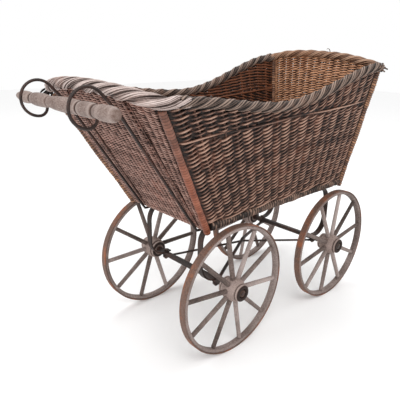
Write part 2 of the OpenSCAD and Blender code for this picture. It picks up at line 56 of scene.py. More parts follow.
REAR_AXLE = centre_of("tyre_rear_left")[0]
WHEEL_R = centre_of("tyre_rear_left")[2] / MM
WHEELBASE = (centre_of("tyre_front_left")[0] - REAR_AXLE) / MM
HALF_TRACK = centre_of("tyre_rear_left")[1] / MM
FLOOR_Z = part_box("rear_wall")[0][2] / MM
FLOOR_BACK, FRONT_X = 60.0, 403.0   # the floor's edges: how far behind and before the rear axle
FLOOR_W = (236.0, 208.0)            # width at the floor: rear, front
RIM_W = (344.0, 308.0)              # width at the rim: rear, front
LEAN = (145.0, 32.0)                # how far each end wall leans out up to its rim
RIM_H = (246.0, 219.0, 285.0)       # the rim over the floor: rear, waist, front
WAIST_X = 100.0                     # where the rim is lowest
BOW = (-26.0, 12.0)                 # how far the middle of each end wall bows out
ARCH = (16.0, 20.0)                 # how far the middle of each end rim arches up
RAIL_D, POST_D, BORDER_D = 15.0, 14.0, 17.0
BELLY, BELLY_FROM, BELLY_OVER = 6.0, 130.0, 305.0   # the sides' fullness, where it starts, its length
SETTLE_LEFT, SETTLE_RIGHT = 11.0, -3.0              # how far each front corner has moved up with age
SETTLE_FROM, SETTLE_OVER, SETTLE_Y = 190.0, 250.0, 120.0

rng = np.random.default_rng(7)


def place(points):
    """Millimetres from the rear axle to metres in the frame."""
    return points * MM + np.array([REAR_AXLE, 0.0, 0.0])


def smooth(t):
    """Soft step: three t squared less two t cubed, held between 0 and 1."""
    t = np.clip(t, 0.0, 1.0)
    return t * t * (3 - 2 * t)


def unit(v):
    return v / np.maximum(np.linalg.norm(v, axis=-1, keepdims=True), 1e-9)


def angles(count):
    return 2 * np.pi * np.arange(count) / count


def length_along(path):
    """Distance run along a line, at each of its points."""
    return np.concatenate([[0], np.cumsum(np.linalg.norm(np.diff(path, axis=0), axis=-1))])


def points_at(path, keys, at):
    """The line read off at other places, where keys are the places of its own points."""
    return np.stack([np.interp(at, keys, path[:, k]) for k in range(3)], -1)


def rounded(path, times):
    """Corners softened by taking each inner point as the mean of itself and its two neighbours."""
    for _ in range(times):
        path = np.concatenate([path[:1], (path[:-2] + path[1:-1] + path[2:]) / 3, path[-1:]])
    return path


def evened(path, count, times):
    """The line at even places with its corners softened, and each place's distance from the nearer end."""
    run = length_along(path)
    even = np.linspace(0, run[-1], count)
    return rounded(points_at(path, run, even), times), np.minimum(even, run[-1] - even)


def circles(side, other, a, r):
    """Circles of radius r about a line; side and other are their two axes, with a point at each angle."""
    return (side * np.cos(a)[None, :, None] * r[..., None]
            + other * np.sin(a)[None, :, None] * r[..., None])


# ---- The basket's shape ------------------------------------------------------------------


def end_rim(s):
    return RIM_H[0] if s == 0 else RIM_H[2]


def lean_x(s, z):
    return (1 - s) * (-FLOOR_BACK - LEAN[0] * z / RIM_H[0]) + s * (FRONT_X + LEAN[1] * z / RIM_H[2])


def rim_height(x):
    rear = RIM_H[1] + (RIM_H[0] - RIM_H[1]) * smooth((WAIST_X - x) / (WAIST_X + FLOOR_BACK + LEAN[0]))
    front = RIM_H[1] + (RIM_H[2] - RIM_H[1]) * smooth((x - WAIST_X) / (FRONT_X + LEAN[1] - WAIST_X))
    return np.where(x < WAIST_X, rear, front)


def half_width(s, z):
    rear = FLOOR_W[0] / 2 + (RIM_W[0] - FLOOR_W[0]) / 2 * z / RIM_H[0]
    front = FLOOR_W[1] / 2 + (RIM_W[1] - FLOOR_W[1]) / 2 * z / RIM_H[2]
    return (1 - s) * rear + s * front


def settle(x, y, z):
    """Age: the left front corner stands a little higher than the right one."""
    return (smooth((x - SETTLE_FROM) / SETTLE_OVER) * (z / RIM_H[2])
            * np.where(y > 0, SETTLE_LEFT, SETTLE_RIGHT) * np.minimum(np.abs(y) / SETTLE_Y, 1))


def side_shape(s, z, side):
    """Straight leaning lines from floor edge to rim, a little fuller towards the high front end."""
    x = lean_x(s, z)
    full = BELLY * np.sin(np.pi * np.clip((x - BELLY_FROM) / BELLY_OVER, 0, 1)) * z / RIM_H[2]
    y = side * (half_width(s, z) + full)
    return np.stack([x, y, FLOOR_Z + z + settle(x, y, z)], -1)


def end_shape(s, q, h):
    """An end wall: q runs from -1 to 1 across, h from 0 to 1 up; bowed and arched as one less q squared."""
    z, sag = h * end_rim(s), 1 - q * q
    x = lean_x(s, z) + BOW[s] * sag * h
    y = q * half_width(s, z)
    return np.stack([x, y, FLOOR_Z + z + ARCH[s] * sag * h + settle(x, y, z)], -1)


def rim_at(s):
    """The rim's height over the floor at a share of the length, found by repeated trial."""
    z = np.full_like(s, 240.0)
    for _ in range(12):
        z = rim_height(lean_x(s, z))
    return z


def rim_line(s, side):
    return side_shape(s, rim_at(s), side)


def normal_of(shape, a, b, flip):
    """Cross product of the two slopes of a surface, found over a small step."""
    e = 1e-3
    da = shape(a + e, b) - shape(a - e, b)
    db = shape(a, b + e) - shape(a, b - e)
    return unit(np.cross(da, db)) * flip


# ---- Strands: tubes carried along lines ----------------------------------------------------

GRAIN_SHIFT = 7.3   # metres, sets each strand's grain apart from the next one's


class Strands:
    """Gathers tubes, lathe turned shapes and rings into one mesh with a strand attribute:
    length along in metres, depth from the inner to the outer face, and a tone of its own."""

    def __init__(self):
        self.points, self.quads, self.caps, self.notes, self.count = [], [], [], [], 0

    def grid(self, points, notes, capped=True):
        """Rings of points; each quad joins a ring to the next one, and caps close the two ends."""
        m, k = points.shape[:2]
        i, j = np.meshgrid(np.arange(m - 1), np.arange(k), indexing="ij")
        n = (j + 1) % k
        quads = np.stack([i * k + j, i * k + n, (i + 1) * k + n, (i + 1) * k + j], -1).reshape(-1, 4)
        self.points.append(points.reshape(-1, 3))
        self.notes.append(notes.reshape(-1, 3))
        self.quads.append(quads + self.count)
        if capped:
            self.caps.append([self.count + a for a in range(k - 1, -1, -1)])
            self.caps.append([self.count + (m - 1) * k + a for a in range(k)])
        self.count += m * k

    def tube(self, path, out, thick, wide, sides=6, tone=0.5, depth=0.0, reach=1.0, edge=0.0):
        """An oval section, thick along the outward direction and wide across it, carried along a path.
        Reach turns the section's own thickness into depth; edge is the share of the depth that is lost
        towards the sides of the section, which in the willow finishes is painted shade along each rod's
        sides."""
        way = unit(np.gradient(path, axis=0))
        out = unit(out - way * np.sum(out * way, -1, keepdims=True))
        across = np.cross(way, out)
        a = angles(sides)
        m = len(path)
        thick = np.broadcast_to(np.asarray(thick, float), (m,))[:, None, None] / 2
        wide = np.broadcast_to(np.asarray(wide, float), (m,))[:, None, None] / 2
        ring = (out[:, None] * np.cos(a)[None, :, None] * thick
                + across[:, None] * np.sin(a)[None, :, None] * wide)
        run = length_along(path) * MM
        depth = np.broadcast_to(np.asarray(depth, float), (m,))[:, None]
        deep = depth + np.cos(a)[None] * thick[..., 0] / reach
        deep = deep * (1 - edge * np.abs(np.sin(a))[None])
        notes = np.stack([np.broadcast_to(run[:, None] + GRAIN_SHIFT * tone, deep.shape), deep,
                          np.full_like(deep, tone)], -1)
        self.grid(path[:, None] + ring, notes)

    def make(self, name, material, replaces=(), body="frame"):
        mesh = bpy.data.meshes.new(name)
        quads = np.concatenate(self.quads).tolist() + self.caps
        mesh.from_pydata(place(np.concatenate(self.points)).tolist(), [], quads)
        note = mesh.attributes.new("strand", "FLOAT_VECTOR", "POINT")
        note.data.foreach_set("vector", np.concatenate(self.notes).astype(np.float32).ravel())
        mesh.polygons.foreach_set("use_smooth", np.ones(len(mesh.polygons), bool))
        mesh.materials.append(material)
        piece = bpy.data.objects.new(name, mesh)
        bpy.context.scene.collection.objects.link(piece)
        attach(piece, body)
        if replaces:
            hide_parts(*replaces)
        return piece


# ---- Materials; colours are screen colours from 0 to 255 -------------------------------------


def linear(colour):
    """A screen colour as linear light, with full cover."""
    c = np.array(colour) / 255
    return (*np.where(c <= 0.04045, c / 12.92, ((c + 0.055) / 1.055) ** 2.4).tolist(), 1.0)


class Shade:
    """A socket that can be added, multiplied and mixed."""

    def __init__(self, tree, socket):
        self.tree, self.socket = tree, socket

    def node(self, kind, *inputs, out=0, **settings):
        made = self.tree.nodes.new("ShaderNode" + kind)
        for key, value in settings.items():
            setattr(made, key, value)
        for slot, value in inputs:
            if isinstance(value, Shade):
                self.tree.links.new(value.socket, made.inputs[slot])
            else:
                made.inputs[slot].default_value = value
        return Shade(self.tree, made.outputs[out])

    def math(self, what, other, clamp=False):
        return self.node("Math", (0, self), (1, other), operation=what, use_clamp=clamp)

    def __add__(self, other):
        return self.math("ADD", other)

    def __sub__(self, other):
        return self.math("SUBTRACT", other)

    def __mul__(self, other):
        return self.math("MULTIPLY", other)

    def swing(self, much):
        """The value's rise over or fall below a half, made stronger or weaker."""
        return (self - 0.5) * much

    def held(self):
        """The value held between 0 and 1."""
        return self.math("ADD", 0.0, clamp=True)

    def between(self, low, high):
        """Rises softly from 0 at low to 1 at high."""
        return self.node("MapRange", (0, self), (1, low), (2, high), interpolation_type="SMOOTHSTEP")

    def ramp(self, stops):
        """Colours at set places, evenly mixed between them."""
        made = self.tree.nodes.new("ShaderNodeValToRGB")
        made.color_ramp.interpolation = "LINEAR"
        while len(made.color_ramp.elements) < len(stops):
            made.color_ramp.elements.new(0.5)
        for element, (at, colour) in zip(made.color_ramp.elements, stops):
            element.position = at
            element.color = linear(colour)
        self.tree.links.new(self.socket, made.inputs[0])
        return Shade(self.tree, made.outputs[0])

    def mix(self, other, share):
        """This colour mixed with another one by a share."""
        other = other if isinstance(other, Shade) else linear(other)
        return self.node("Mix", (0, share), (6, self), (7, other), out=2, data_type="RGBA")


BUMP_DEPTH = 0.0006                    # metres
ROUGH_SWING, ROUGH_DROP = 0.25, 0.12   # how the blotches raise and lower the roughness


def finish(name, colouring, roughness, metallic=0.0, bump=0.4, specular=0.3):
    """A material; colouring takes the start socket and gives colour, height and a roughness change."""
    material = bpy.data.materials.new(name)
    material.use_nodes = True
    tree = material.node_tree
    shader = tree.nodes["Principled BSDF"]
    start = Shade(tree, None)
    colour, height, rough = colouring(start)
    tree.links.new(colour.socket, shader.inputs["Base Color"])
    shader.inputs["Metallic"].default_value = metallic
    shader.inputs["Specular IOR Level"].default_value = specular
    if rough is None:
        shader.inputs["Roughness"].default_value = roughness
    else:
        varied = (rough * ROUGH_SWING + (roughness - ROUGH_DROP)).held()
        tree.links.new(varied.socket, shader.inputs["Roughness"])
    if height is not None:
        bumped = start.node("Bump", ("Strength", bump), ("Distance", BUMP_DEPTH), ("Height", height))
        tree.links.new(bumped.socket, shader.inputs["Normal"])
    return material


def strand_note(start):
    """Length along, depth and tone of a strand."""
    note = start.node("Attribute", attribute_name="strand", out=1)
    parts = note.tree.nodes.new("ShaderNodeSeparateXYZ")
    note.tree.links.new(note.socket, parts.inputs[0])
    return [Shade(note.tree, parts.outputs[k]) for k in range(3)]


def here(start, stretch=(1.0, 1.0, 1.0)):
    """The place on the piece, squeezed or stretched along each axis."""
    coords = start.node("TexCoord", out=3)
    return start.node("Mapping", (0, coords), (3, stretch))


def noise(start, where, scale, detail=3.0, rough=0.6):
    return start.node("TexNoise", ("Vector", where), ("Scale", scale), ("Detail", detail),
                      ("Roughness", rough))


def willow(inside, gap_shade, raised_tone, pale, tint, spread):
    """Dry rods: painted shade where they dive between the stakes and along the sides of each rod, pale on
    the crown of each stroke from wear and a painted highlight.
    Spread says how far the rods differ in tone."""
    def colouring(start):
        _, depth, tone = strand_note(start)
        where = here(start)
        patch = noise(start, where, 9.0, 4.0)
        spot = noise(start, where, 48.0)
        streak = noise(start, here(start, (1, 1, 3)), 420.0, 2.0)
        # level follows the rod's depth: the inner crown takes the inside colour, the wall's middle takes
        # painted shade, the outer crown takes wear with a painted highlight
        level = (depth * 0.5 + 0.5 + tone.swing(spread * 0.4) + patch.swing(0.30) + spot.swing(0.34)
                 + streak.swing(0.30)).held()
        colour = level.ramp([(0.0, inside), (0.22, inside), (0.42, gap_shade), (0.56, gap_shade), (0.76, raised_tone),
                             (0.98, pale)])
        colour = colour.mix(tint, (patch * 0.5 + spot * 0.5).between(0.50, 0.66) * 0.5)
        return colour, streak, patch
    return colouring


def wrapped(dark, mid, light, grey=None):
    """Flat cane wound round a pole: each turn shades from its shadow line to a lighter crown. Grey is the
    colour that the upper end has weathered to."""
    def colouring(start):
        run, depth, tone = strand_note(start)
        patch = noise(start, here(start), 26.0, 4.0)
        streak = noise(start, here(start), 330.0)
        level = (depth * 0.55 + tone * 0.34 + patch.swing(1.0) + streak.swing(0.4)).held()
        colour = level.ramp([(0.12, dark), (0.5, mid), (0.95, light)])
        if grey:
            weathered = level.ramp([(0.1, (38, 27, 22)), (0.9, grey)])
            colour = colour.mix(weathered, (run + patch * 0.16 - 0.08).between(0.12, 0.24) * 0.75)
        return colour, streak, patch
    return colouring


def timber(dark, mid, light, grain, lines, toned):
    """Weathered wood: long grain along the strand note, blotches and fine dark checks. Grain is its
    fineness, lines its strength, and toned the share of the strand's own tone."""
    def colouring(start):
        run, depth, tone = strand_note(start)
        around = start.node("CombineXYZ", (0, run * 6.0), (1, depth * 1.2), (2, tone * 9.0))
        fibre = noise(start, around, grain, 4.0, 0.7)
        patch = noise(start, here(start), 14.0, 4.0)
        fine = noise(start, here(start), 260.0, 2.0)
        level = (fibre.swing(0.9 * lines) + patch.swing(0.8) + fine.swing(0.3) + 0.5
                 + tone.swing(toned)).held()
        return level.ramp([(0.12, dark), (0.45, mid), (0.85, light)]), fibre * 0.6 + fine * 0.4, patch
    return colouring


def board_wood(dark, mid, light):
    """Sawn boards with grain along the length of the stroller."""
    def colouring(start):
        fibre = noise(start, here(start, (0.08, 1, 1)), 160.0, 4.0, 0.7)
        patch = noise(start, here(start), 12.0)
        level = (fibre.swing(1.1) + patch.swing(0.6) + 0.5).held()
        return level.ramp([(0.15, dark), (0.5, mid), (0.85, light)]), fibre, patch
    return colouring


def forged(dark, mid, rust, share):
    """Old iron: black scale with rust coming through in patches and fine pits."""
    def colouring(start):
        patch = noise(start, here(start), 24.0, 5.0, 0.65)
        pits = noise(start, here(start), 420.0, 3.0, 0.7)
        rusty = (patch * 0.8 + pits * 0.3).between(0.5, 0.72) * share
        return pits.ramp([(0.3, dark), (0.7, mid)]).mix(rust, rusty), pits + patch * 0.5, patch
    return colouring


WILLOW_SIDE = finish("willow_side", willow(
    (112, 68, 45), (22, 14, 10), (91, 60, 47), (168, 135, 117), (102, 56, 37), 0.7), 0.6, bump=0.5)
WILLOW_REAR = finish("willow_rear", willow(
    (116, 74, 48), (44, 28, 23), (126, 92, 81), (182, 149, 137), (130, 76, 60), 0.5), 0.66, bump=0.5)
WILLOW_FRONT = finish("willow_front", willow(
    (192, 141, 107), (62, 38, 27), (88, 66, 58), (156, 131, 122), (158, 100, 66), 0.5), 0.62, bump=0.5)
BORDER = finish("willow_border", willow(
    (34, 25, 21), (24, 17, 14), (86, 69, 60), (148, 127, 114), (100, 64, 45), 0.35), 0.62, bump=0.5)
BORDER_FRONT = finish("willow_border_front", willow(
    (46, 32, 24), (44, 28, 20), (126, 90, 68), (178, 146, 122), (140, 92, 62), 0.35), 0.62, bump=0.5)
PLAIT = finish("willow_plait", willow(
    (50, 38, 33), (76, 62, 57), (146, 128, 122), (202, 186, 180), (144, 112, 99), 0.35), 0.62, bump=0.5)
CANE = finish("cane_wrap", wrapped((10, 7, 6), (44, 31, 25), (138, 110, 94)), 0.55, bump=0.5)
CANE_RED = finish("cane_wrap_red", wrapped(
    (76, 36, 23), (112, 59, 39), (150, 92, 70), (120, 84, 71)), 0.5, bump=0.5)
CANE_GOLD = finish("cane_wrap_gold", wrapped((30, 19, 15), (92, 62, 48), (172, 128, 96)), 0.5, bump=0.5)
BAR_WOOD = finish("turned_wood", timber((54, 37, 30), (96, 75, 66), (150, 134, 127), 34.0, 1.3, 1.9), 0.55)
WHEEL_WOOD = finish("wheel_wood", timber((48, 38, 33), (108, 93, 87), (164, 150, 145), 50.0, 1.6, 0.6), 0.7)
HUB_WOOD = finish("hub_wood", timber((38, 25, 20), (108, 90, 83), (164, 147, 140), 50.0, 1.3, 1.5), 0.7)
BOARDS = finish("floor_wood", board_wood((66, 46, 34), (104, 78, 60), (140, 110, 86)), 0.8)
BLACK_IRON = finish("black_iron", forged((26, 21, 19), (56, 44, 40), (88, 56, 44), 0.6), 0.5,
                    metallic=0.3, specular=0.4)
TYRE_RUST = finish("tyre_rust", forged((78, 58, 49), (122, 97, 86), (156, 92, 58), 0.75), 0.65,
                   metallic=0.1, bump=0.5)
BOLT_IRON = finish("bolt_iron", forged((48, 38, 32), (98, 84, 76), (120, 74, 50), 0.6), 0.5, metallic=0.4)

# ---- Woven walls ---------------------------------------------------------------------------

# Of each rod: how far it swings out and up, its thickness and width, its points for each stake
SIDE_WEAVE = dict(amp=2.9, lift=3.3, thick=3.3, wide=4.9, per_stake=8)
BAND_WEAVE = dict(amp=4.4, lift=1.2, thick=4.2, wide=4.6, per_stake=7, twist=0.12)
REAR_WEAVE = dict(amp=2.2, lift=1.3, thick=2.7, wide=3.9, per_stake=6, sides=5)
FRONT_WEAVE = dict(amp=2.8, lift=1.7, thick=3.3, wide=4.9, per_stake=7)
TUCK = 1.5                          # how far behind the line a rod's ends are tucked in
FILLER_THICK, WALL_DEPTH = 2.2, 9.0   # a dark filler rod, painted shade between the rows, and the depth that its tone is measured against
STAKE_DEPTH = 8.0                   # the same for a stake


def twined(bag, shape, level, start, end, stakes, flip, amp, lift, thick, wide, per_stake, sides=6,
           twist=1.0):
    """One row of two rods turned round each other at every stake: each rod's place is the row's line,
    out by a cosine and up by a sine of its share of the stake spacing."""
    m = max(6, int((end - start) * stakes * per_stake))
    a = np.linspace(start, end, m)
    b = level(a)
    middle = shape(a, b)
    out = normal_of(shape, a, b, flip)
    way = unit(np.gradient(middle, axis=0))
    up = unit(np.cross(out, way))
    up = up * np.sign(up[:, 2:3])
    wander = (0.22 * np.sin(a * stakes * 0.9 + rng.uniform(0, 6))
              + 0.15 * np.sin(a * stakes * 2.3 + rng.uniform(0, 6)))
    turn = np.pi * a * stakes * twist + rng.normal(0, 0.10)
    tuck = smooth(np.minimum(a - start, end - a) * stakes * 2.5)
    reach = amp + thick / 2
    for k in (0, 1):
        size = rng.uniform(0.92, 1.1)
        offset = amp * np.cos(turn + np.pi * k) * tuck - (1 - tuck) * TUCK
        path = middle + out * offset[:, None] + up * (lift * np.sin(turn + np.pi * k) + wander)[:, None]
        bag.tube(path, out, thick * size, wide * size, sides, rng.uniform(0, 1), offset / reach,
                 reach=reach, edge=0.75)


def shade_filler(bag, shape, level, start, end, flip, wide):
    """A plain thin rod laid along a row's own line, inside the thickness of the wall; it sits at the wall's
    middle depth and takes the dark gap colour, painted shade that fills the gaps between rows.
    """
    a = np.linspace(start, end, max(4, int((end - start) * 60)))
    b = level(a)
    out = normal_of(shape, a, b, flip)
    bag.tube(shape(a, b), out, FILLER_THICK, wide, 6, rng.uniform(0.2, 0.8), 0.0, reach=WALL_DEPTH)


def stakes_of(bag, shape, places, bottom, top, flip, d):
    """Upright rods along lines of the wall, at its middle depth, so that they take the willow's painted gap
    shade.
    """
    for a in places:
        b = np.linspace(bottom, top(a), 26)
        line = np.full_like(b, a)
        bag.tube(shape(line, b), normal_of(shape, line, b, flip), d, d, 7, rng.uniform(0, 1), 0.0,
                 reach=STAKE_DEPTH)


def runs_where(mask):
    """Start and end places of each unbroken stretch of a mask."""
    edges = np.flatnonzero(np.diff(np.concatenate([[0], mask.astype(int), [0]])))
    return list(zip(edges[::2], edges[1::2] - 1))


SIDE_STAKES, ROW = 21, 6.9
SHARE = np.linspace(0.012, 0.988, 500)
FIRST_ROW, LAST_ROW, PLAIN_BELOW = 17.5, 215.0, 24.0   # rows that follow the floor, up from it
TOP_ROW, TOP_ROWS = 9.5, 20                            # rows that follow the rim, down from it
UNDER_BAND, OVER_BAND = 2.6, 4.6                       # room that the rows leave for the slanting band
SIDE_STAKE_D, SIDE_FILLER, BAND_FILLER = 6.0, 5.6, 7.8     # stakes, dark filler rods of painted shade, filler beside the band
LEAST_RUN = 9                                          # a shorter stretch of a row is left out


def split_height(s):
    """The height of the slanting band, where the rows along the floor meet those along the rim."""
    return 180.0 + 28.0 * s


def woven_side(side, word):
    bag = Strands()
    shape = lambda s, z: side_shape(s, z, side)
    flip = -side
    rim = rim_at(SHARE)
    rows = []
    level = FIRST_ROW
    while level < LAST_ROW:
        rows.append((np.full_like(SHARE, level), level < split_height(SHARE) - UNDER_BAND,
                     level < PLAIN_BELOW))
        level += ROW
    for k in range(TOP_ROWS):
        z = rim - TOP_ROW - ROW * k
        rows.append((z, z > split_height(SHARE) + OVER_BAND, False))
    for z, mask, plain in rows:
        line = lambda s, z=z: np.interp(s, SHARE, z)
        for i, j in runs_where(mask):
            if j - i > LEAST_RUN:
                twined(bag, shape, line, SHARE[i], SHARE[j], SIDE_STAKES, flip, **SIDE_WEAVE,
                       twist=0.28 if plain else 1.0)
                shade_filler(bag, shape, line, SHARE[i], SHARE[j], flip, SIDE_FILLER)
    twined(bag, shape, lambda s: split_height(s) + 1.2, 0.01, 0.99, SIDE_STAKES, flip, **BAND_WEAVE)
    for off in (-4.2, 4.8):
        shade_filler(bag, shape, lambda s, off=off: split_height(s) + off, SHARE[0], SHARE[-1], flip, BAND_FILLER)
    under_rim = lambda s: np.interp(s, SHARE, rim) - 7.0
    shade_filler(bag, shape, under_rim, SHARE[0], SHARE[-1], flip, 6.0)
    places = np.arange(1, SIDE_STAKES) / SIDE_STAKES
    stakes_of(bag, shape, places, 2.0, lambda s: float(np.interp(s, SHARE, rim)) - 3, flip, SIDE_STAKE_D)
    bag.make("woven_side_" + word, WILLOW_SIDE, ["side_wall_" + word])


END_TOP, END_EDGE = 0.985, 0.95   # where an end wall's weave stops, as shares of height and half width


def woven_end(s, word, stakes, row, weave, material):
    bag = Strands()
    shape = lambda q, h: end_shape(s, q, h)
    flip = -1 if s == 0 else 1
    rim = end_rim(s)
    step = row / (rim * math.hypot(1, LEAN[s] / rim))
    h = 0.012
    while h < END_TOP:
        line = lambda q, h=h: np.full_like(q, h)
        twined(bag, shape, line, -END_EDGE, END_EDGE, stakes / 2, flip, **weave)
        if s == 1:
            shade_filler(bag, shape, line, -END_EDGE, END_EDGE, flip, row * 0.6)
        h += step
    places = (np.arange(1, stakes) / stakes) * 2 - 1
    stakes_of(bag, shape, places, -0.004, lambda q: END_TOP, flip, weave["thick"] * 1.25)
    bag.make("woven_" + word, material, [word + "_wall"])


woven_side(1, "left")
woven_side(-1, "right")
woven_end(0, "rear", 24, 4.4, REAR_WEAVE, WILLOW_REAR)
woven_end(1, "front", 14, 5.6, FRONT_WEAVE, WILLOW_FRONT)

# ---- Wrapped posts and rails ---------------------------------------------------------------

SHUFFLE, SHUFFLE_SCALE = 12.9898, 43758.5453   # scatter the tones of the turns


def wrapped_pole(name, path, d, band, node, material, lumps=0.5, relief=0.8):
    """A pole wound with flat cane: the radius rises and falls over each turn, and each turn leans a
    little. Lumps is the pole's unevenness, relief the height of a turn's crown."""
    m = max(40, int(length_along(path)[-1] / band * 8))
    line = points_at(path, np.linspace(0, 1, len(path)), np.linspace(0, 1, m))
    length = length_along(line)
    way = unit(np.gradient(line, axis=0))
    side = unit(np.cross(way, np.array([0.31, 0.22, 0.92])))
    other = np.cross(way, side)
    a = angles(20)
    warp = length / band + 0.25 * np.sin(length / 37) + 0.18 * np.sin(length / 11.3)
    turn = warp[:, None] + a[None] / (2 * np.pi)
    number = np.floor(turn)
    part = turn - number
    crown = 1 - np.abs(2 * part - 1) ** (2.2 if relief > 1 else 3.5)
    tone = np.abs(np.sin(number * SHUFFLE) * SHUFFLE_SCALE) % 1.0
    r = (d / 2 - 0.9 + relief * crown + lumps * np.sin(length / 19 + 1.0)[:, None] * 0.5
         + (tone - 0.5) * relief * 0.7)
    notes = np.stack([np.broadcast_to(length[:, None] * MM, tone.shape), crown, tone], -1)
    bag = Strands()
    bag.grid(line[:, None] + circles(side[:, None], other[:, None], a, r), notes)
    bag.make(name, material, [node])


RAIL_Z = centre_of("bottom_rail_rear")[2] / MM - FLOOR_Z
for side, word in SIDES:
    t = np.linspace(0, 1, 30)
    rail = side_shape(0.022 + 0.963 * t, np.full_like(t, RAIL_Z), side)
    rail[:, 2] += 1.5 * np.sin(np.pi * t)
    wrapped_pole("wrapped_rail_" + word, rail, RAIL_D, 7.0, "bottom_rail_" + word, CANE, 1.0, 1.9)
    for s, end in ENDS:
        under_rim = 12.0 if end == "rear" else 7.0
        z = np.linspace(-4.0, end_rim(s) - under_rim, 30)
        post = side_shape(np.full_like(z, float(s)), z, side)
        red = end == "rear" and word == "right"
        wrapped_pole(f"wrapped_post_{end}_{word}", post, POST_D, 5.6, f"corner_post_{end}_{word}",
                     CANE_RED if red else CANE_GOLD, 0.5 if red else 1.0, 0.25 if red else 1.3)
for _, end in ENDS:
    low, high = (np.array(v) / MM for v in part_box("bottom_rail_" + end))
    y = np.linspace(low[1], high[1], 20)
    x = np.full_like(y, (low[0] + high[0]) / 2 - REAR_AXLE / MM)
    z = np.full_like(y, (low[2] + high[2]) / 2)
    wrapped_pole("wrapped_rail_" + end, np.stack([x, y, z], -1), RAIL_D, 6.0, "bottom_rail_" + end, CANE)

# ---- Rim -----------------------------------------------------------------------------------


def across_and_up(path):
    """The level direction across a line, and the one square to both."""
    way = unit(np.gradient(path, axis=0))
    across = unit(np.cross(way, np.array([0.0, 0.0, 1.0])))
    return across, np.cross(across, way)


def rope(bag, path, wide, high, rods, pitch, rod, group, swell):
    """Rods laid side by side round an oval line: each one's place turns once in every pitch, and the rods
    in the middle of a group stand prouder than those at its edges, by swell. Width and height may change
    along the line."""
    length = length_along(path)
    along = np.linspace(0, length[-1], int(length[-1] / pitch * 30))
    line = points_at(path, length, along)
    wide = np.interp(along, length, wide)
    high = np.interp(along, length, high)
    across, up = across_and_up(line)
    shades = rng.uniform(0, 1, rods // group + 1)
    for k in range(rods):
        part = (k % group - (group - 1) / 2) / (group / 2)
        proud = swell * (1 - 2.0 * part * part)
        turn = (2 * np.pi * (along / pitch + (k + 0.3 * math.sin(3.1 * k)) / rods)
                + 0.16 * np.sin(along / 31 + k // group))
        loose = 0.5 * np.sin(along / 17 + 2.1 * k) + proud
        side, rise = np.cos(turn)[:, None], np.sin(turn)[:, None]
        centre = (line + across * side * ((wide - rod) / 2 + loose)[:, None]
                  + up * rise * ((high - rod) / 2 + loose)[:, None])
        width = rod * rng.uniform(0.95, 1.15)
        tone = 0.55 * shades[k // group] + 0.45 * rng.uniform(0, 1)
        # Edge rods of each group get less depth, which paints shade in the gaps between groups; the proud
        # middle rods take the painted highlight.
        depth = 0.25 + 0.45 * proud / swell + 0.12 * np.sin(along / 23 + 1.7 * k)
        bag.tube(centre, across * side + up * rise, rod * 0.95, width, 7, tone, depth, reach=rod, edge=0.8)


BORDER_ROPE = dict(rods=12, pitch=104.0, rod=4.4, group=4, swell=1.7)
PLAIT_ROPE = dict(rods=28, pitch=150.0, rod=2.9, group=7, swell=2.6)
CORE_D = 8           # the dark filling inside a rope, in the gap colour: painted shade seen between the rods
RIM_START = 0.055    # share of the length where the side ropes come out of the plait

for side, word in SIDES:
    bag = Strands()
    s = np.linspace(RIM_START, 1.008, 120)
    core = rim_line(s, side)
    size = BORDER_D + 3.5 * smooth((s - 0.93) / 0.06)
    rope(bag, core, size, size, **BORDER_ROPE)
    bag.tube(core, across_and_up(core)[1], CORE_D, CORE_D, 8, 0.2, -0.1, reach=20)
    bag.make("rim_rope_" + word, BORDER, ["rim_border_" + word])

# The front rope runs a little way round both front corners
bag = Strands()
q = np.linspace(-0.93, 0.93, 90)
s = np.linspace(0.955, 0.995, 6)
core = np.concatenate([rim_line(s, -1), end_shape(1, q, np.ones_like(q)), rim_line(s[::-1], 1)])
core, from_end = evened(core, 170, 9)
size = CORE_D + 9.5 * smooth(from_end / 20.0)
rope(bag, core, size, size, **BORDER_ROPE)
bag.tube(core, across_and_up(core)[1], CORE_D, CORE_D, 8, 0.2, -0.1, reach=20)
bag.make("rim_rope_front", BORDER_FRONT, ["rim_border_front"])

# The plait runs round both rear corners and tucks into the side ropes
bag = Strands()
q = np.linspace(-0.93, 0.93, 60)
s = np.linspace(RIM_START + 0.03, 0.012, 10)
core = np.concatenate([rim_line(s, -1), end_shape(0, q, np.ones_like(q)), rim_line(s[::-1], 1)])
core, from_end = evened(core, 180, 14)
swelling = smooth(from_end / 62.0)
rope(bag, core, 14.5 + 7.5 * swelling, 13.5 + 4.5 * swelling, **PLAIT_ROPE)
bag.tube(core, across_and_up(core)[1], CORE_D + 4 * swelling, CORE_D, 8, 0.2, -0.2, reach=30)
bag.make("rim_plait", PLAIT, ["rim_plait_rear"])

